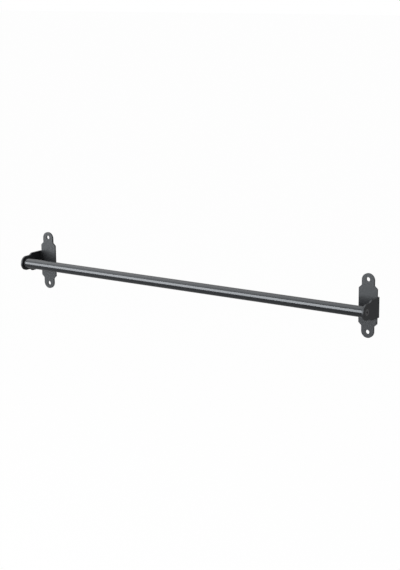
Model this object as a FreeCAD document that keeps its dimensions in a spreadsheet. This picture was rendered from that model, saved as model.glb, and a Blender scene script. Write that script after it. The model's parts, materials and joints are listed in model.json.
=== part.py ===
"""Kitchen utensil rail: a steel tube held off the wall by two folded sheet-steel brackets.

Millimetres. The origin is on the wall, midway between the four wall screws. X runs along
the rail, the wall is the plane Y = 0, the front looks towards -Y and Z is up.
"""
import FreeCAD, Part
import math
import os
import re
import Sketcher
from FreeCAD import Placement, Rotation, Vector

# Driving dimensions: name, millimetres, what it measures
SIZES = [
    ("overall_length", 600, "over the outer faces of the two arms"),
    ("sheet_thickness", 2.5, "pressed steel sheet of both brackets"),
    ("arm_root_run", 0.5, "flat tab between the plate's side and the fold"),
    ("fold_inside_radius", 0.6, "inside of the fold from plate to arm"),
    ("outline_radius", 1.2, "rounding of the blank's corners, seen from its face"),
    ("rim_chamfer", 0.4, "broken edge all round the blank's cut rims"),
    ("plate_height", 89, "wall plate, over the round ends of its ears"),
    ("plate_width", 28, "wall plate, across its middle"),
    ("ear_width", 19, "ear above and below the plate's middle"),
    ("ear_height", 16.5, "from an ear's round end to the shoulder below it"),
    ("shoulder_height", 4, "slope from an ear out to the plate's middle"),
    ("wall_screw_inset", 8.25, "from an ear's round end to the centre of its hole"),
    ("wall_screw_hole", 6, "diameter, one in each ear"),
    ("rail_standoff", 36, "from the wall to the rail's axis"),
    ("arm_root_height", 28, "arm where it leaves the plate"),
    ("arm_end_height", 22, "arm's round end, concentric with the rail"),
    ("arm_end_run", 8, "straight sides of the arm's end, behind the rail's axis"),
    ("arm_shoulder_run", 5, "slope from the arm's end up to its root"),
    ("rail_screw_hole", 5.5, "clearance hole in the arm's round end"),
    ("rail_diameter", 15, "outside of the tube"),
    ("rail_wall", 1, "wall of the tube"),
    ("rail_chamfer", 0.4, "broken outer edge at each end of the tube"),
    ("plug_length", 16, "threaded plug inside each end of the tube"),
    ("plug_clearance", 0.05, "all round, between plug and tube"),
    ("plug_chamfer", 1, "lead-in at the plug's inner end"),
    ("thread_clearance", 0.05, "all round, between screw and plug"),
    ("screw_diameter", 5, "thread of a rail screw"),
    ("screw_length", 12, "rail screw, below its head"),
    ("screw_point", 0.6, "chamfer at the rail screw's end"),
    ("head_diameter", 9.5, "button head"),
    ("head_height", 2.75, "button head, to its flat top"),
    ("head_rim", 0.6, "straight side of the head, below its dome"),
    ("head_flat", 4.6, "flat top of the head, round the socket"),
    ("socket_width", 3, "hexagon socket, across its flats"),
    ("socket_depth", 1.8, "hexagon socket"),
]
NAMES = {name for name, size, meaning in SIZES}
TOUCHING = 1e-4

doc = FreeCAD.newDocument("kitchen_utensil_rail")
sheet = doc.addObject("Spreadsheet::Sheet", "Sizes")
for row, (name, size, meaning) in enumerate(SIZES, start=1):
    sheet.set(f"A{row}", meaning)
    sheet.set(f"B{row}", str(size))
    sheet.setAlias(f"B{row}", name)
doc.recompute()


def expression(text):
    """The text, with every size's name turned into a reference to its cell."""
    return re.sub(r"[a-z_]+", lambda word: f"Sizes.{word[0]}" if word[0] in NAMES else word[0], text)


def value(text):
    return float(sheet.evalExpression(expression(text)))


def bind(item, property_path, text):
    item.setExpression(property_path, expression(text))


def new_body(name):
    body = doc.addObject("PartDesign::Body", name)
    body.Label = name
    return body


def new_sketch(body, name, plane, offset=("0", "0", "0")):
    """A sketch on one of the body's own planes, moved along that plane's x, y and normal."""
    sketch = body.newObject("Sketcher::SketchObject", f"{body.Name}_{name}")
    origin_plane = next(item for item in body.Origin.OriginFeatures if item.Role == plane)
    sketch.AttachmentSupport = (origin_plane, "")
    sketch.MapMode = "FlatFace"
    for axis, text in zip("xyz", offset):
        bind(sketch, f"AttachmentOffset.Base.{axis}", text)
    return sketch


def place_point(sketch, geometry, point, across, along):
    """Dimension a point of the sketch from its origin; None leaves that direction free."""
    for kind, axis, text in (("DistanceX", -2, across), ("DistanceY", -1, along)):
        if text is None:
            continue
        distance = value(text)
        if abs(distance) < TOUCHING:
            sketch.addConstraint(Sketcher.Constraint("PointOnObject", geometry, point, axis))
            continue
        ends = (-1, 1, geometry, point) if distance > 0 else (geometry, point, -1, 1)
        constraint = sketch.addConstraint(Sketcher.Constraint(kind, *ends, abs(distance)))
        bind(sketch, f"Constraints[{constraint}]", text if distance > 0 else f"-({text})")


def draw_outline(sketch, corners):
    """A closed outline, anticlockwise. A corner is (x, y), or (x, y, (x, y) of a centre)
    where an arc about that centre leads on to the next corner."""
    points = [Vector(value(corner[0]), value(corner[1]), 0) for corner in corners]
    for index, corner in enumerate(corners):
        start, end = points[index], points[(index + 1) % len(corners)]
        if len(corner) == 2:
            sketch.addGeometry(Part.LineSegment(start, end))
            continue
        centre = Vector(value(corner[2][0]), value(corner[2][1]), 0)
        from_angle = math.atan2(start.y - centre.y, start.x - centre.x)
        to_angle = math.atan2(end.y - centre.y, end.x - centre.x)
        if to_angle < from_angle:
            to_angle += 2 * math.pi
        circle = Part.Circle(centre, Vector(0, 0, 1), start.distanceToPoint(centre))
        sketch.addGeometry(Part.ArcOfCircle(circle, from_angle, to_angle))
    for index, corner in enumerate(corners):
        following = (index + 1) % len(corners)
        sketch.addConstraint(Sketcher.Constraint("Coincident", index, 2, following, 1))
        across, along, previous = corner[0], corner[1], corners[index - 1]
        if len(previous) == 3:
            # An arc ends here, so its radius already sets the corner's larger distance
            reach = points[index] - Vector(value(previous[2][0]), value(previous[2][1]), 0)
            across, along = (None, along) if abs(reach.x) > abs(reach.y) else (across, None)
        place_point(sketch, index, 1, across, along)
        if len(corner) == 3:
            place_point(sketch, index, 3, *corner[2])


def draw_circle(sketch, across, along, diameter):
    centre = Vector(value(across), value(along), 0)
    geometry = sketch.addGeometry(Part.Circle(centre, Vector(0, 0, 1), value(diameter) / 2))
    place_point(sketch, geometry, 3, across, along)
    constraint = sketch.addConstraint(Sketcher.Constraint("Diameter", geometry, value(diameter)))
    bind(sketch, f"Constraints[{constraint}]", diameter)


def add_feature(body, kind, sketch, **settings):
    feature = body.newObject(f"PartDesign::{kind}", f"{sketch.Name}_{kind}")
    feature.Profile = sketch
    for name, setting in settings.items():
        setattr(feature, name, setting)
    sketch.Visibility = False
    return feature


def pad(body, sketch, length, **settings):
    bind(add_feature(body, "Pad", sketch, **settings), "Length", length)


def turn(body, sketch, axis, angle=360, reverse=False):
    add_feature(body, "Revolution", sketch, ReferenceAxis=(sketch, [axis]), Angle=angle, Reversed=reverse)


def dress(body, kind, name, size_name, size, is_edge):
    """Round or chamfer the edges of the body that is_edge picks."""
    doc.recompute()
    base = body.Tip
    edges = [f"Edge{number}" for number, edge in enumerate(base.Shape.Edges, start=1) if is_edge(edge)]
    feature = body.newObject(f"PartDesign::{kind}", f"{body.Name}_{name}")
    feature.Base = (base, edges)
    bind(feature, size_name, size)
    body.Tip = feature


# Brackets: one pressed sheet each, a wall plate with an arm folded forward from its outer side

FOLD = "(plate_width / 2 + arm_root_run)"
FOLD_DEPTH = "(sheet_thickness + fold_inside_radius)"
ARM_FACE = f"({FOLD} + fold_inside_radius)"
BRACKET_PLACE = f"(overall_length / 2 - {ARM_FACE} - sheet_thickness)"
EAR_CENTRE = "(plate_height / 2 - ear_width / 2)"
SHOULDER_TOP = "(plate_height / 2 - ear_height)"
SHOULDER_FOOT = "(plate_height / 2 - ear_height - shoulder_height)"
WALL_SCREW_HEIGHT = "(plate_height / 2 - wall_screw_inset)"
ARM_SHOULDER_FRONT = "(rail_standoff - arm_end_run)"
ARM_SHOULDER_BACK = "(rail_standoff - arm_end_run - arm_shoulder_run)"


def draw_wall_plate(body):
    """The plate's middle, a sloping shoulder at each corner and a round ear above and below."""
    sketch = new_sketch(body, "plate", "XZ_Plane")
    draw_outline(sketch, [
        ("plate_width / 2", f"-{SHOULDER_FOOT}"),
        ("plate_width / 2", SHOULDER_FOOT),
        ("ear_width / 2", SHOULDER_TOP),
        ("ear_width / 2", EAR_CENTRE, ("0", EAR_CENTRE)),
        ("-ear_width / 2", EAR_CENTRE),
        ("-ear_width / 2", SHOULDER_TOP),
        ("-plate_width / 2", SHOULDER_FOOT),
        ("-plate_width / 2", f"-{SHOULDER_FOOT}"),
        ("-ear_width / 2", f"-{SHOULDER_TOP}"),
        ("-ear_width / 2", f"-{EAR_CENTRE}", ("0", f"-{EAR_CENTRE}")),
        ("ear_width / 2", f"-{EAR_CENTRE}"),
        ("ear_width / 2", f"-{SHOULDER_TOP}"),
    ])
    draw_circle(sketch, "0", WALL_SCREW_HEIGHT, "wall_screw_hole")
    draw_circle(sketch, "0", f"-{WALL_SCREW_HEIGHT}", "wall_screw_hole")
    pad(body, sketch, "sheet_thickness")


def draw_fold(body, side):
    """A short flat tab, then a quarter turn of the sheet about an upright line before it."""
    sketch = new_sketch(body, "fold", "YZ_Plane", (f"-{FOLD_DEPTH}", "0", f"{side} * {FOLD}"))
    draw_outline(sketch, [
        ("fold_inside_radius", "-arm_root_height / 2"),
        (FOLD_DEPTH, "-arm_root_height / 2"),
        (FOLD_DEPTH, "arm_root_height / 2"),
        ("fold_inside_radius", "arm_root_height / 2"),
    ])
    pad(body, sketch, "arm_root_run", Reversed=side > 0)
    turn(body, sketch, "V_Axis", 90, reverse=side > 0)


def draw_arm(body, side):
    """The arm: a tall root, a shoulder, and a round end whose hole takes the rail's screw."""
    sketch = new_sketch(body, "arm", "YZ_Plane", ("0", "0", f"{side} * {ARM_FACE}"))
    draw_outline(sketch, [
        (f"-{FOLD_DEPTH}", "arm_root_height / 2"),
        (f"-{ARM_SHOULDER_BACK}", "arm_root_height / 2"),
        (f"-{ARM_SHOULDER_FRONT}", "arm_end_height / 2"),
        ("-rail_standoff", "arm_end_height / 2", ("-rail_standoff", "0")),
        ("-rail_standoff", "-arm_end_height / 2"),
        (f"-{ARM_SHOULDER_FRONT}", "-arm_end_height / 2"),
        (f"-{ARM_SHOULDER_BACK}", "-arm_root_height / 2"),
        (f"-{FOLD_DEPTH}", "-arm_root_height / 2"),
    ])
    draw_circle(sketch, "-rail_standoff", "0", "rail_screw_hole")
    pad(body, sketch, "sheet_thickness", Reversed=side < 0)


def is_outline_corner(edge):
    """An edge straight through the sheet at a corner of the plate's or the arm's outline."""
    ends = [vertex.Point for vertex in edge.Vertexes]
    if len(ends) != 2 or abs(ends[0].distanceToPoint(ends[1]) - value("sheet_thickness")) > TOUCHING:
        return False
    middle = (ends[0] + ends[1]) / 2
    plate_corners = [("plate_width / 2", SHOULDER_FOOT), ("ear_width / 2", SHOULDER_TOP)]
    arm_corners = [
        (ARM_SHOULDER_BACK, "arm_root_height / 2"),
        (ARM_SHOULDER_FRONT, "arm_end_height / 2"),
    ]
    return any(
        abs(along - value(place)) < TOUCHING and abs(abs(middle.z) - value(height)) < TOUCHING
        for along, corners in ((abs(middle.x), plate_corners), (-middle.y, arm_corners))
        for place, height in corners
    )


def is_rim(edge):
    """An edge where a face of the sheet meets its cut rim, or the wall of a hole."""
    thick, inside = value("sheet_thickness"), value("fold_inside_radius")
    fold, depth = value(FOLD), value(FOLD_DEPTH)

    def height_in_sheet(point):
        """From 0 on the sheet's inner face to its thickness on the outer one."""
        across, forward = abs(point.x), -point.y
        if forward > depth:
            return across - fold - inside
        if across < fold:
            return thick - forward
        return math.hypot(across - fold, forward - depth) - inside

    points = edge.discretize(5)
    heights = [height_in_sheet(point) for point in points]
    on_inner_face = all(abs(height) < TOUCHING for height in heights)
    on_outer_face = all(abs(height - thick) < TOUCHING for height in heights)
    span = points[-1] - points[0]
    upright = math.hypot(span.x, span.y) < TOUCHING
    at_fold_start = abs(abs(points[0].x) - fold) < TOUCHING
    at_fold_end = abs(-points[0].y - depth) < TOUCHING
    is_fold_line = upright and (at_fold_start or at_fold_end)
    return (on_inner_face or on_outer_face) and not is_fold_line


def make_bracket(name, side):
    body = new_body(name)
    draw_wall_plate(body)
    draw_fold(body, side)
    draw_arm(body, side)
    dress(body, "Fillet", "corners", "Radius", "outline_radius", is_outline_corner)
    dress(body, "Chamfer", "rims", "Size", "rim_chamfer", is_rim)
    bind(body, "Placement.Base.x", f"{side} * {BRACKET_PLACE}")


make_bracket("left_bracket", -1)
make_bracket("right_bracket", 1)


# Rail: a straight steel tube whose two ends butt against the arms' inner faces

RAIL_LENGTH = "(overall_length - 2 * sheet_thickness)"


def is_outer_end(edge):
    radius = value("rail_diameter / 2")
    return isinstance(edge.Curve, Part.Circle) and abs(edge.Curve.Radius - radius) < TOUCHING


rail = new_body("rail_tube")
section = new_sketch(rail, "section", "YZ_Plane")
draw_circle(section, "0", "0", "rail_diameter")
draw_circle(section, "0", "0", "rail_diameter - 2 * rail_wall")
pad(rail, section, RAIL_LENGTH, Midplane=True)
dress(rail, "Chamfer", "ends", "Size", "rail_chamfer", is_outer_end)
bind(rail, "Placement.Base.y", "-rail_standoff")


# End plugs and rail screws: turned about X and drawn for the right end, with +X out of the rail

def set_at_end(body, side, place):
    """Put a turned piece on the rail's axis, facing outwards at its own end."""
    body.Placement = Placement(Vector(), Rotation(Vector(0, 0, 1), 0 if side > 0 else 180))
    bind(body, "Placement.Base.x", f"{side} * {place}")
    bind(body, "Placement.Base.y", "-rail_standoff")


def make_plug(name, side):
    """A steel plug fixed inside the tube's end, flush with it and threaded right through."""
    body = new_body(name)
    sketch = new_sketch(body, "profile", "XY_Plane")
    bore = "(screw_diameter / 2 + thread_clearance)"
    radius = "(rail_diameter / 2 - rail_wall - plug_clearance)"
    draw_outline(sketch, [
        ("-plug_length", bore),
        ("0", bore),
        ("0", radius),
        ("-(plug_length - plug_chamfer)", radius),
        ("-plug_length", f"{radius} - plug_chamfer"),
    ])
    turn(body, sketch, "H_Axis")
    set_at_end(body, side, f"{RAIL_LENGTH} / 2")


def make_screw(name, side):
    """A button-head screw with a hexagon socket. Its head bears on the arm's outer face."""
    body = new_body(name)
    sketch = new_sketch(body, "profile", "XY_Plane")
    rise = "(head_height - head_rim)"
    squares = "(head_height ^ 2 - head_rim ^ 2 + (head_flat ^ 2 - head_diameter ^ 2) / 4)"
    dome_centre = f"{squares} / (2 * {rise})"
    draw_outline(sketch, [
        ("-screw_length", "0"),
        ("head_height", "0"),
        ("head_height", "head_flat / 2", (dome_centre, "0")),
        ("head_rim", "head_diameter / 2"),
        ("0", "head_diameter / 2"),
        ("0", "screw_diameter / 2"),
        ("-(screw_length - screw_point)", "screw_diameter / 2"),
        ("-screw_length", "screw_diameter / 2 - screw_point"),
    ])
    turn(body, sketch, "H_Axis")
    socket = new_sketch(body, "socket", "YZ_Plane", ("0", "0", "head_height"))
    corner, flat = "(socket_width / 3 ^ 0.5)", "socket_width / 2"
    draw_outline(socket, [
        (corner, "0"),
        (f"{corner} / 2", flat),
        (f"-{corner} / 2", flat),
        (f"-{corner}", "0"),
        (f"-{corner} / 2", f"-{flat}"),
        (f"{corner} / 2", f"-{flat}"),
    ])
    bind(add_feature(body, "Pocket", socket), "Length", "socket_depth")
    set_at_end(body, side, "overall_length / 2")


for end, side in (("left", -1), ("right", 1)):
    make_plug(f"{end}_end_plug", side)
    make_screw(f"{end}_rail_screw", side)


doc.recompute()
for item in doc.Objects:
    if "Invalid" in item.State or "Error" in item.State:
        raise RuntimeError(f"{item.Label} could not be made: {item.State}")
bodies = [item for item in doc.Objects if item.TypeId == "PartDesign::Body"]
for body in bodies:
    if body.Shape.isNull() or not body.Shape.isValid() or len(body.Shape.Solids) != 1:
        raise RuntimeError(f"{body.Label} is not one valid solid")
os.makedirs("parts", exist_ok=True)
for body in bodies:
    body.Shape.exportStep(f"parts/{body.Label}.step")
    print(body.Label, round(body.Shape.Volume, 1), body.Shape.BoundBox)
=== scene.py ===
"""A kitchen utensil rail: a steel tube between two folded sheet brackets, coated charcoal black.

Metres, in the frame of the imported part: X along the rail, the wall at Y = 0, Z up.
"""
import bmesh
import bpy
import json
import math
from mathutils import Matrix, Vector


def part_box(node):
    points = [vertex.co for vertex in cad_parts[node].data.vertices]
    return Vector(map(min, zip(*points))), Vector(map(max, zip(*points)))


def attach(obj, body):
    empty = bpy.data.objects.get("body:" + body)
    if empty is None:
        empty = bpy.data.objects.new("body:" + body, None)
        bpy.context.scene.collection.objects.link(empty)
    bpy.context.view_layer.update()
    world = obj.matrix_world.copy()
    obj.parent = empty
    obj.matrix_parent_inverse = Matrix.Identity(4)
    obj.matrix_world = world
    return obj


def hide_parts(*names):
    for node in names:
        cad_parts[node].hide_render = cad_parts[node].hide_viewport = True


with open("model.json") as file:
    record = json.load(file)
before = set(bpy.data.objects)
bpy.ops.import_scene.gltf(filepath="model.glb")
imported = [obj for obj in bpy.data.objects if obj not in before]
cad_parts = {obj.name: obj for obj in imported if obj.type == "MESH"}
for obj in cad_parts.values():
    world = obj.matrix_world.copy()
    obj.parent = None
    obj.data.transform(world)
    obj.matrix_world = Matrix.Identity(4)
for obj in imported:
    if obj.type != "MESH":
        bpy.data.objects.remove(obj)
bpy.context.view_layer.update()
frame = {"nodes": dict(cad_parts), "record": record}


# Rail: a straight drawn steel tube, cut square with broken edges and coated in satin charcoal.
# It is held between the brackets' arms, so only its outside shows, with a long soft highlight.

RAIL_DIAMETER = 0.015
RAIL_WALL = 0.001
RAIL_EDGE_ROUND = 0.0004
RAIL_EDGE_STEPS = 5
RAIL_SIDES = 160
CHARCOAL_DARK = (0.0100, 0.0106, 0.0118, 1)
CHARCOAL_LIGHT = (0.0150, 0.0158, 0.0172, 1)
COAT_TINT = (0.90, 0.95, 1.0, 1)
CLOUD_SIZE = 0.03
PEEL_SIZE = 0.0016
GRAIN_SIZE = 0.00025
GRAIN_SHARE = 0.3
NOISE_MEAN = 0.5
CLOUD_GLOSS = 0.05
PEEL_GLOSS = 0.06
RAIL_ROUGHNESS = 0.16
RAIL_SPECULAR = 0.40
RAIL_PEEL_HEIGHT = 0.000006
SHARP_ANGLE = math.radians(38)
TOUCHING = 1e-7


class Wire:
    """One output of a shader node. Arithmetic on it adds Math nodes to its tree."""

    def __init__(self, tree, output=None):
        self.tree = tree
        self.output = output

    def node(self, kind, settings=None, inputs=None, output=0):
        """Add a node: its settings come first, then the values or links of its inputs."""
        made = self.tree.nodes.new(kind)
        for name, setting in (settings or {}).items():
            setattr(made, name, setting)
        for name, given in (inputs or {}).items():
            if isinstance(given, Wire):
                self.tree.links.new(given.output, made.inputs[name])
            else:
                made.inputs[name].default_value = given
        return Wire(self.tree, made.outputs[output] if made.outputs else None)

    def math(self, operation, first, second):
        return self.node("ShaderNodeMath", {"operation": operation}, {0: first, 1: second})

    def __add__(self, other):
        return self.math("ADD", self, other)

    def __radd__(self, other):
        return self.math("ADD", other, self)

    def __sub__(self, other):
        return self.math("SUBTRACT", self, other)

    def __rsub__(self, other):
        return self.math("SUBTRACT", other, self)

    def __mul__(self, other):
        return self.math("MULTIPLY", self, other)

    def __rmul__(self, other):
        return self.math("MULTIPLY", other, self)


def new_material(name):
    """An empty material and the start of its shader tree."""
    material = bpy.data.materials.new(name)
    material.use_nodes = True
    material.node_tree.nodes.clear()
    return material, Wire(material.node_tree)


def noise(start, place, size, detail):
    """Soft noise from 0 to 1 whose lumps are about that many metres across."""
    inputs = {"Vector": place, "Scale": 1 / size, "Detail": detail}
    return start.node("ShaderNodeTexNoise", None, inputs, "Fac")


def shade_between(start, share, first, second):
    """The first colour where the share is 0 and the second where it is 1.

    A Mix node takes its two colours at inputs 6 and 7 and gives the mixed one at output 2.
    """
    return start.node("ShaderNodeMix", {"data_type": "RGBA"}, {0: share, 6: first, 7: second}, 2)


def make_coat(name, roughness, specular, peel_height):
    """Satin stoved coat: fine orange peel, and a faint cloudiness in its colour and its gloss."""
    material, start = new_material(name)
    place = start.node("ShaderNodeTexCoord", output="Object")
    cloud = noise(start, place, CLOUD_SIZE, detail=2)
    peel = noise(start, place, PEEL_SIZE, detail=3)
    grain = noise(start, place, GRAIN_SIZE, detail=1)
    surface = start.node("ShaderNodeBump", None, {
        "Height": peel + grain * GRAIN_SHARE,
        "Strength": 1.0,
        "Distance": peel_height,
    })
    uneven = (cloud - NOISE_MEAN) * CLOUD_GLOSS + (peel - NOISE_MEAN) * PEEL_GLOSS
    shader = start.node("ShaderNodeBsdfPrincipled", None, {
        "Base Color": shade_between(start, cloud, CHARCOAL_DARK, CHARCOAL_LIGHT),
        "Roughness": roughness + uneven,
        "Normal": surface,
        "Specular IOR Level": specular,
        "Specular Tint": COAT_TINT,
    })
    start.node("ShaderNodeOutputMaterial", None, {"Surface": shader})
    return material


def finish_piece(bm, name, material, slot, *replaced):
    """Turn the modelled piece into an object that rides on the part and shows its finish."""
    bmesh.ops.remove_doubles(bm, verts=bm.verts, dist=TOUCHING)
    bmesh.ops.recalc_face_normals(bm, faces=bm.faces)
    for face in bm.faces:
        face.smooth = True
    mesh = bpy.data.meshes.new(name)
    bm.to_mesh(mesh)
    bm.free()
    mesh.set_sharp_from_angle(angle=SHARP_ANGLE)
    mesh.materials.append(material)
    piece = bpy.data.objects.new(name, mesh)
    bpy.context.scene.collection.objects.link(piece)
    normals = piece.modifiers.new("even_normals", "WEIGHTED_NORMAL")
    normals.keep_sharp = True
    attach(piece, "root")
    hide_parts(*replaced)


def add_chain(bm, points, closed=False):
    """Vertices joined one to the next, and the last to the first if closed."""
    verts = [bm.verts.new(point) for point in points]
    for pair in zip(verts, verts[1:]):
        bm.edges.new(pair)
    if closed:
        bm.edges.new((verts[-1], verts[0]))
    return verts


def turn_about(bm, edges, centre, axis, sides):
    """Turn a profile all the way round, as on a lathe."""
    verts = list({vert for edge in edges for vert in edge.verts})
    bmesh.ops.spin(
        bm, geom=verts + edges, cent=centre, axis=axis, dvec=(0, 0, 0),
        angle=2 * math.pi, steps=sides, use_merge=True, use_duplicate=False,
    )


rail_low, rail_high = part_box("rail_tube")
rail_middle = (rail_low + rail_high) / 2
ALONG_RAIL = Vector((1, 0, 0))

rail_coat = make_coat("rail_coat", RAIL_ROUGHNESS, RAIL_SPECULAR, RAIL_PEEL_HEIGHT)
bm = bmesh.new()
outside = rail_middle.z + RAIL_DIAMETER / 2
inside = outside - RAIL_WALL
section = add_chain(bm, [
    (rail_low.x, rail_middle.y, inside),
    (rail_low.x, rail_middle.y, outside),
    (rail_high.x, rail_middle.y, outside),
    (rail_high.x, rail_middle.y, inside),
], closed=True)
bmesh.ops.bevel(
    bm, geom=section[1:3], offset=RAIL_EDGE_ROUND, offset_type="OFFSET", affect="VERTICES",
    segments=RAIL_EDGE_STEPS, profile=0.5, material=-1,
)
turn_about(bm, list(bm.edges), rail_middle, ALONG_RAIL, RAIL_SIDES)
finish_piece(bm, "rail", rail_coat, "rail_coat", "rail_tube")


# Brackets: each is one blank of 2.5 mm sheet steel, punched, folded a quarter turn and coated.
# It has a wall plate with two round ears, and an arm that stands out and carries the rail.

SHEET = 0.0025
TAB_RUN = 0.0005
FOLD_INSIDE = 0.0006
CORNER_ROUND = 0.0012
RIM_ROUND = 0.0004
PLATE_WIDTH = 0.028
EAR_WIDTH = 0.019
EAR_HEIGHT = 0.0165
SHOULDER_HEIGHT = 0.004
ARM_ROOT_HEIGHT = 0.028
ARM_END_HEIGHT = 0.022
ARM_END_RUN = 0.008
ARM_SHOULDER_RUN = 0.005
RAIL_SCREW_HOLE = 0.0055
COUNTERSINK_DIAMETER = 0.010
ROUND_STEPS = 40
CORNER_STEPS = 6
HOLE_STEPS = 56
FOLD_STEPS = 14
RIM_STEPS = 4
BRACKET_ROUGHNESS = 0.38
BRACKET_SPECULAR = 0.38
BRACKET_PEEL_HEIGHT = 0.000010
FLAT_ANGLE = math.radians(1)
CUT_ANGLE = math.radians(60)
SQUARE_ON = 0.999
SAME_POINT = 1e-6
SAME_FACE = 1e-5

MM = 0.001
mounts = {mount["name"]: mount["dims"] for mount in frame["record"]["mounts"]}
wall_screws = mounts["wall_screws"]
WALL_SCREW_HEIGHT = wall_screws["spacing_y_mm"] / 2 * MM
WALL_SCREW_HOLE = 2 * wall_screws["hole_r_mm"] * MM


def round_end(bm, start, centre, sign):
    """Half a circle of edges from a vertex, about a centre in the sheet's plane."""
    bmesh.ops.spin(
        bm, geom=[start], cent=centre, axis=(0, 0, sign), dvec=(0, 0, 0),
        angle=math.pi, steps=ROUND_STEPS, use_merge=False, use_duplicate=False,
    )


def fill_sheet(bm, corners):
    """Round the corners that ask for it, fill the outline round its holes and give it thickness."""
    for tangent, verts in corners.items():
        bmesh.ops.bevel(
            bm, geom=verts, offset=tangent, offset_type="OFFSET", affect="VERTICES",
            segments=CORNER_STEPS, profile=0.5, material=-1,
        )
    bmesh.ops.remove_doubles(bm, verts=bm.verts, dist=SAME_POINT)
    outline = set(bm.edges)
    bmesh.ops.triangle_fill(bm, use_beauty=True, edges=list(bm.edges), normal=(0, 0, 1))
    inner = [edge for edge in bm.edges if edge not in outline]
    bmesh.ops.dissolve_limit(
        bm, angle_limit=FLAT_ANGLE, use_dissolve_boundaries=False, verts=[], edges=inner,
    )
    raised = bmesh.ops.extrude_face_region(bm, geom=list(bm.faces), use_keep_orig=True)["geom"]
    moved = [item for item in raised if isinstance(item, bmesh.types.BMVert)]
    bmesh.ops.translate(bm, verts=moved, vec=(0, 0, SHEET))


def punch(bm, across, along, diameter):
    """The outline of a round hole in the flat sheet."""
    bmesh.ops.create_circle(
        bm, cap_ends=False, radius=diameter / 2, segments=HOLE_STEPS,
        matrix=Matrix.Translation((across, along, 0)),
    )


def corner_tangent(run, rise):
    """How far a corner's rounding reaches along its sides, where a slope of run by rise begins."""
    return CORNER_ROUND * math.tan(math.atan2(rise, run) / 2)


def make_plate(height):
    """The wall plate, flat in XY, with a short tab at its +X side for the fold."""
    bm = bmesh.new()
    wide, ear, tab = PLATE_WIDTH / 2, EAR_WIDTH / 2, ARM_ROOT_HEIGHT / 2
    ear_centre = height / 2 - ear
    shoulder_top = height / 2 - EAR_HEIGHT
    shoulder_foot = shoulder_top - SHOULDER_HEIGHT
    right = add_chain(bm, [
        (ear, -ear_centre, 0),
        (ear, -shoulder_top, 0),
        (wide, -shoulder_foot, 0),
        (wide, -tab, 0),
        (wide + TAB_RUN, -tab, 0),
        (wide + TAB_RUN, tab, 0),
        (wide, tab, 0),
        (wide, shoulder_foot, 0),
        (ear, shoulder_top, 0),
        (ear, ear_centre, 0),
    ])
    left = add_chain(bm, [
        (-ear, ear_centre, 0),
        (-ear, shoulder_top, 0),
        (-wide, shoulder_foot, 0),
        (-wide, -shoulder_foot, 0),
        (-ear, -shoulder_top, 0),
        (-ear, -ear_centre, 0),
    ])
    rounded = [right[1], right[2], right[7], right[8], *left[1:5]]
    round_end(bm, right[9], (0, ear_centre, 0), 1)
    round_end(bm, left[5], (0, -ear_centre, 0), 1)
    punch(bm, 0, WALL_SCREW_HEIGHT, WALL_SCREW_HOLE)
    punch(bm, 0, -WALL_SCREW_HEIGHT, WALL_SCREW_HOLE)
    fill_sheet(bm, {corner_tangent(SHOULDER_HEIGHT, (PLATE_WIDTH - EAR_WIDTH) / 2): rounded})
    return bm


def around_screw(vert, out):
    """Whether a vertex, that far along the arm from the rail's axis, is on the screw's hole."""
    return math.hypot(vert.co.y, out) < COUNTERSINK_DIAMETER / 2 + CORNER_ROUND


def make_arm(reach):
    """The arm, flat in XY with its root along X = 0 and its countersunk hole at X = reach."""
    bm = bmesh.new()
    root, end = ARM_ROOT_HEIGHT / 2, ARM_END_HEIGHT / 2
    front, back = reach - ARM_END_RUN, reach - ARM_END_RUN - ARM_SHOULDER_RUN
    verts = add_chain(bm, [
        (reach, end, 0),
        (front, end, 0),
        (back, root, 0),
        (0, root, 0),
        (0, -root, 0),
        (back, -root, 0),
        (front, -end, 0),
        (reach, -end, 0),
    ])
    round_end(bm, verts[7], (reach, 0, 0), 1)
    punch(bm, reach, 0, RAIL_SCREW_HOLE)
    rounded = [verts[1], verts[2], verts[5], verts[6]]
    fill_sheet(bm, {corner_tangent(ARM_SHOULDER_RUN, root - end): rounded})
    mouth = [
        edge for edge in bm.edges
        if all(vert.co.z > SHEET / 2 and around_screw(vert, vert.co.x - reach) for vert in edge.verts)
    ]
    bmesh.ops.bevel(
        bm, geom=mouth, offset=(COUNTERSINK_DIAMETER - RAIL_SCREW_HOLE) / 2, offset_type="OFFSET",
        affect="EDGES", segments=1, profile=0.5, clamp_overlap=False, material=-1,
    )
    return bm


def open_face(bm, place, direction):
    """Delete the flat face that looks that way at that place, and return its edges."""
    found = [
        face for face in bm.faces
        if abs(face.normal.dot(direction)) > SQUARE_ON
        and (face.calc_center_median() - place).length < SAME_FACE
    ]
    edges = list(found[0].edges)
    bmesh.ops.delete(bm, geom=found, context="FACES_ONLY")
    return edges


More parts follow.
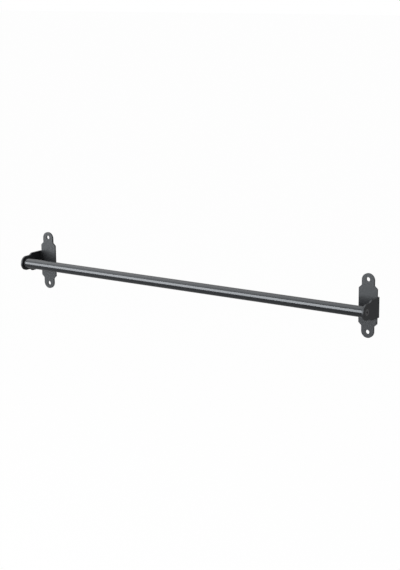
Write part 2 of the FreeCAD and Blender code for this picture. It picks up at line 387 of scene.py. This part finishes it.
def make_bracket(node, side, coat):
    """Join plate, fold and arm into one sheet, round its cut rims and stand it in its place."""
    low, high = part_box(node)
    height = high.z - low.z
    standoff = -rail_middle.y
    fold_depth = SHEET + FOLD_INSIDE
    bm = make_plate(height)
    fold_x = PLATE_WIDTH / 2 + TAB_RUN
    edges = open_face(bm, Vector((fold_x, 0, SHEET / 2)), Vector((1, 0, 0)))
    verts = list({vert for edge in edges for vert in edge.verts})
    bmesh.ops.spin(
        bm, geom=verts + edges, cent=(fold_x, 0, fold_depth), axis=(0, -1, 0), dvec=(0, 0, 0),
        angle=math.pi / 2, steps=FOLD_STEPS, use_merge=False, use_duplicate=False,
    )
    arm = make_arm(standoff - fold_depth)
    open_face(arm, Vector((0, 0, SHEET / 2)), Vector((1, 0, 0)))
    # The arm's length turns to +Z, square to the plate, and its thickness runs outwards to +X
    stand = Matrix(((0, 0, 1, fold_x + FOLD_INSIDE), (0, 1, 0, 0), (1, 0, 0, fold_depth), (0, 0, 0, 1)))
    bmesh.ops.transform(arm, matrix=stand, verts=arm.verts)
    arm_mesh = bpy.data.meshes.new("arm")
    arm.to_mesh(arm_mesh)
    arm.free()
    bm.from_mesh(arm_mesh)
    bpy.data.meshes.remove(arm_mesh)
    bmesh.ops.remove_doubles(bm, verts=bm.verts, dist=SAME_POINT)
    bmesh.ops.recalc_face_normals(bm, faces=bm.faces)
    rims = [
        edge for edge in bm.edges
        if edge.is_convex and edge.calc_face_angle(0) > CUT_ANGLE
        and not all(around_screw(vert, vert.co.z - standoff) for vert in edge.verts)
    ]
    bmesh.ops.bevel(
        bm, geom=rims, offset=RIM_ROUND, offset_type="OFFSET", affect="EDGES",
        segments=RIM_STEPS, profile=0.5, clamp_overlap=True, material=-1,
    )
    # The plate stands up: its face looks to -Y, and the fold is at its outer side
    upright = Matrix(((side, 0, 0, 0), (0, 0, -1, 0), (0, 1, 0, 0), (0, 0, 0, 1)))
    outer = fold_x + FOLD_INSIDE + SHEET
    centre_x = (high.x - outer) if side > 0 else (low.x + outer)
    place = Matrix.Translation((centre_x, 0, (low.z + high.z) / 2)) @ upright
    bmesh.ops.transform(bm, matrix=place, verts=bm.verts)
    finish_piece(bm, node + "_sheet", coat, "bracket_coat", node)


bracket_coat = make_coat("bracket_coat", BRACKET_ROUGHNESS, BRACKET_SPECULAR, BRACKET_PEEL_HEIGHT)
make_bracket("left_bracket", -1, bracket_coat)
make_bracket("right_bracket", 1, bracket_coat)


# Rail screws: M5 countersunk screws with a hexagon socket, cold forged and blackened in an oxide bath.
# Each goes through its arm into the plug in the rail's end, and its head lies flush in the arm.

HEAD_DIAMETER = 0.0095
HEAD_LIP = (COUNTERSINK_DIAMETER - HEAD_DIAMETER) / 2
HEAD_EDGE_ROUND = 0.0002
HEAD_EDGE_STEPS = 3
SOCKET_SIDES = 6
SOCKET_WIDTH = 0.003
SOCKET_CORNER = SOCKET_WIDTH / math.sqrt(3)
SOCKET_DEPTH = 0.0018
SOCKET_MOUTH = 0.00012
SOCKET_DRILL = 0.0004
SCREW_DIAMETER = 0.005
SCREW_POINT = 0.0006
SCREW_SIDES = 72
OXIDE_DARK = (0.060, 0.061, 0.064, 1)
OXIDE_LIGHT = (0.100, 0.102, 0.106, 1)
OXIDE_ROUGHNESS = 0.34
PATCH_SIZE = 0.002
PATCH_GLOSS = 0.12
RING_SIZE = 0.00009
RING_HEIGHT = 0.000003


def make_turned_finish(name, dark, light, roughness, metallic):
    """Turned steel: faint rings about the rail's axis, and patches in its colour and its gloss."""
    material, start = new_material(name)
    place = start.node("ShaderNodeTexCoord", output="Object")
    patches = noise(start, place, PATCH_SIZE, detail=3)
    off_axis = start.node("ShaderNodeVectorMath", {"operation": "MULTIPLY_ADD"}, {
        0: place, 1: (0, 1, 1), 2: (0, -rail_middle.y, -rail_middle.z),
    }, "Vector")
    radius = start.node("ShaderNodeVectorMath", {"operation": "LENGTH"}, {0: off_axis}, "Value")
    rings = start.node("ShaderNodeTexNoise", {"noise_dimensions": "1D"}, {
        "W": radius, "Scale": 1 / RING_SIZE, "Detail": 2,
    }, "Fac")
    surface = start.node("ShaderNodeBump", None, {
        "Height": rings, "Strength": 1.0, "Distance": RING_HEIGHT,
    })
    shader = start.node("ShaderNodeBsdfPrincipled", None, {
        "Base Color": shade_between(start, patches, dark, light),
        "Roughness": roughness + patches * PATCH_GLOSS,
        "Normal": surface,
        "Metallic": metallic,
    })
    start.node("ShaderNodeOutputMaterial", None, {"Surface": shader})
    return material


def sink_loop(bm, edges, depth, scale):
    """Carry a loop of edges into the head along X, narrowed by that much, and return the new loop."""
    made = bmesh.ops.extrude_edge_only(bm, edges=edges)["geom"]
    verts = {item for item in made if isinstance(item, bmesh.types.BMVert)}
    bmesh.ops.translate(bm, verts=list(verts), vec=(-depth, 0, 0))
    bmesh.ops.scale(bm, verts=list(verts), vec=(1, scale, scale))
    return [edge for edge in bm.edges if set(edge.verts) <= verts]


def turn_screw(bm, length):
    """The screw's turned shape about X, with its head's top at X = 0 and a hole left in that top."""
    rim, shank = HEAD_DIAMETER / 2, SCREW_DIAMETER / 2
    cone_foot = HEAD_LIP + rim - shank
    profile = add_chain(bm, [
        (-length, 0, 0),
        (-length, shank - SCREW_POINT, 0),
        (SCREW_POINT - length, shank, 0),
        (-cone_foot, shank, 0),
        (-HEAD_LIP, rim, 0),
        (0, rim, 0),
        (0, SOCKET_CORNER + SOCKET_MOUTH, 0),
    ])
    bmesh.ops.bevel(
        bm, geom=[profile[5]], offset=HEAD_EDGE_ROUND, offset_type="OFFSET", affect="VERTICES",
        segments=HEAD_EDGE_STEPS, profile=0.5, material=-1,
    )
    turn_about(bm, list(bm.edges), (0, 0, 0), ALONG_RAIL, SCREW_SIDES)
    bmesh.ops.remove_doubles(bm, verts=bm.verts, dist=TOUCHING)


def make_screw(node, arm, side, finish):
    """Turn the screw, press the hexagon socket into its head and sink it in its arm."""
    screw_box, arm_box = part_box(node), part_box(arm)
    tip, face = (screw_box[0].x, arm_box[1].x) if side > 0 else (screw_box[1].x, arm_box[0].x)
    bm = bmesh.new()
    turn_screw(bm, abs(face - tip))
    mouth = [edge for edge in bm.edges if edge.is_boundary]
    facing_x = Matrix(((0, 0, 1, -SOCKET_MOUTH), (0, 1, 0, 0), (1, 0, 0, 0), (0, 0, 0, 1)))
    corners = bmesh.ops.create_circle(
        bm, cap_ends=False, radius=SOCKET_CORNER, segments=SOCKET_SIDES, matrix=facing_x,
    )["verts"]
    hexagon = list({edge for vert in corners for edge in vert.link_edges})
    cuts = SCREW_SIDES // SOCKET_SIDES - 1
    divided = bmesh.ops.subdivide_edges(bm, edges=hexagon, cuts=cuts)["geom_split"]
    hexagon = [item for item in divided if isinstance(item, bmesh.types.BMEdge)]
    bmesh.ops.bridge_loops(bm, edges=mouth + hexagon)
    foot = sink_loop(bm, hexagon, SOCKET_DEPTH - SOCKET_MOUTH, 1)
    sink_loop(bm, foot, SOCKET_DRILL, 0)
    place = Matrix.Translation((face, rail_middle.y, rail_middle.z)) @ Matrix.Diagonal((side, 1, 1, 1))
    bmesh.ops.transform(bm, matrix=place, verts=bm.verts)
    finish_piece(bm, node.replace("rail_screw", "socket_screw"), finish, "screw_black", node)


black_oxide = make_turned_finish("black_oxide", OXIDE_DARK, OXIDE_LIGHT, OXIDE_ROUGHNESS, 0)
make_screw("left_rail_screw", "left_bracket", -1, black_oxide)
make_screw("right_rail_screw", "right_bracket", 1, black_oxide)


# End plugs: turned steel, zinc plated, fixed inside the rail's ends and threaded for its screws.
# Nothing of them shows while the rail is together.

ZINC_DARK = (0.52, 0.53, 0.55, 1)
ZINC_LIGHT = (0.62, 0.63, 0.64, 1)
ZINC_ROUGHNESS = 0.28

zinc_steel = make_turned_finish("zinc_steel", ZINC_DARK, ZINC_LIGHT, ZINC_ROUGHNESS, 1)
for name in ("left_end_plug", "right_end_plug"):
    plug = frame["nodes"][name]
    plug.data.materials.clear()
    plug.data.materials.append(zinc_steel)


# Studio: a pale floor well below the rail, a white surround and two soft lamps.
# The camera stands in front of the rail and out to its right, as in the photograph.

FLOOR_DROP = 0.75
FLOOR_HALF = 30
FLOOR_COLOUR = (0.8, 0.8, 0.8, 1)
FLOOR_IN_REFLECTIONS = 0.35
SHADOW_SHARE = 0.02
SURROUND_LEVEL = 0.35
KEY_POSITION = Vector((-1.12, -1.60, 0.34))
KEY_AIM = Vector((KEY_POSITION.x, 0, 0))
KEY_SIZE = (1.5, 1.4)
KEY_WATTS = 70
TOP_POSITION = Vector((-1.0, -0.2, 1.6))
TOP_AIM = Vector((-0.1, -0.02, 0))
TOP_SIZE = (2.0, 1.8)
TOP_WATTS = 20
CAMERA_POSITION = Vector((1.17036, -1.64448, 0.44545))
CAMERA_YAW = math.radians(35.307)
CAMERA_PITCH = math.radians(12.609)
CAMERA_ROLL = math.radians(-0.582)
FOCAL_PIXELS = 1422.07
FRAME_HEIGHT_PIXELS = 570
SENSOR = 36
VIEW_DEPTH = 200


def seen_rays(start):
    """Two masks: 1 for the camera's own rays, and 1 for rays in a reflection or through glass."""
    straight = start.node("ShaderNodeLightPath", output="Is Camera Ray")
    glossy = start.node("ShaderNodeLightPath", output="Is Glossy Ray")
    through = start.node("ShaderNodeLightPath", output="Is Transmission Ray")
    return straight, start.math("MAXIMUM", glossy, through)


def make_floor_finish():
    """White to the camera less what a shadow takes, pale grey in a reflection, and pale to light."""
    material, start = new_material("pale_floor")
    straight, mirrored = seen_rays(start)
    pale = start.node("ShaderNodeBsdfDiffuse", None, {"Color": FLOOR_COLOUR})
    white = start.node("ShaderNodeEmission", None, {
        "Color": (1, 1, 1, 1),
        "Strength": straight + mirrored * FLOOR_IN_REFLECTIONS,
    })
    share = start.math("MAXIMUM", straight, mirrored) * (1 - SHADOW_SHARE)
    mixed = start.node("ShaderNodeMixShader", None, {0: share, 1: pale, 2: white})
    start.node("ShaderNodeOutputMaterial", None, {"Surface": mixed})
    return material


bm = bmesh.new()
bmesh.ops.create_grid(
    bm, x_segments=1, y_segments=1, size=FLOOR_HALF, matrix=Matrix.Translation((0, 0, -FLOOR_DROP)),
)
floor_mesh = bpy.data.meshes.new("floor")
bm.to_mesh(floor_mesh)
bm.free()
floor_mesh.materials.append(make_floor_finish())
floor = bpy.data.objects.new("floor", floor_mesh)
bpy.context.scene.collection.objects.link(floor)


def add_soft_lamp(name, position, aim, size, watts):
    """A rectangular soft box that faces its aim."""
    lamp = bpy.data.lights.new(name, "AREA")
    lamp.shape = "RECTANGLE"
    lamp.size, lamp.size_y = size
    lamp.energy = watts
    holder = bpy.data.objects.new(name, lamp)
    holder.location = position
    holder.rotation_euler = (aim - position).to_track_quat("-Z", "Y").to_euler()
    bpy.context.scene.collection.objects.link(holder)


add_soft_lamp("key", KEY_POSITION, KEY_AIM, KEY_SIZE, KEY_WATTS)
add_soft_lamp("top", TOP_POSITION, TOP_AIM, TOP_SIZE, TOP_WATTS)

world = bpy.data.worlds.new("white_surround")
world.use_nodes = True
world.node_tree.nodes.clear()
start = Wire(world.node_tree)
straight, mirrored = seen_rays(start)
surround = start.node("ShaderNodeBackground", None, {
    "Color": (1, 1, 1, 1),
    "Strength": start.math("MAXIMUM", straight, mirrored) * (1 - SURROUND_LEVEL) + SURROUND_LEVEL,
})
start.node("ShaderNodeOutputWorld", None, {"Surface": surround})
bpy.context.scene.world = world
bpy.context.scene.view_settings.view_transform = "Standard"

forward = Vector((
    -math.sin(CAMERA_YAW) * math.cos(CAMERA_PITCH),
    math.cos(CAMERA_YAW) * math.cos(CAMERA_PITCH),
    -math.sin(CAMERA_PITCH),
))
level_right = Vector((math.cos(CAMERA_YAW), math.sin(CAMERA_YAW), 0))
level_up = level_right.cross(forward)
right = math.cos(CAMERA_ROLL) * level_right + math.sin(CAMERA_ROLL) * level_up
up = math.cos(CAMERA_ROLL) * level_up - math.sin(CAMERA_ROLL) * level_right
lens = bpy.data.cameras.new("camera")
lens.sensor_width = SENSOR
lens.lens = FOCAL_PIXELS / FRAME_HEIGHT_PIXELS * SENSOR
lens.clip_end = VIEW_DEPTH
camera = bpy.data.objects.new("camera", lens)
turned = Matrix((right, up, -forward)).transposed().to_4x4()
camera.matrix_world = Matrix.Translation(CAMERA_POSITION) @ turned
bpy.context.scene.collection.objects.link(camera)
bpy.context.scene.camera = camera
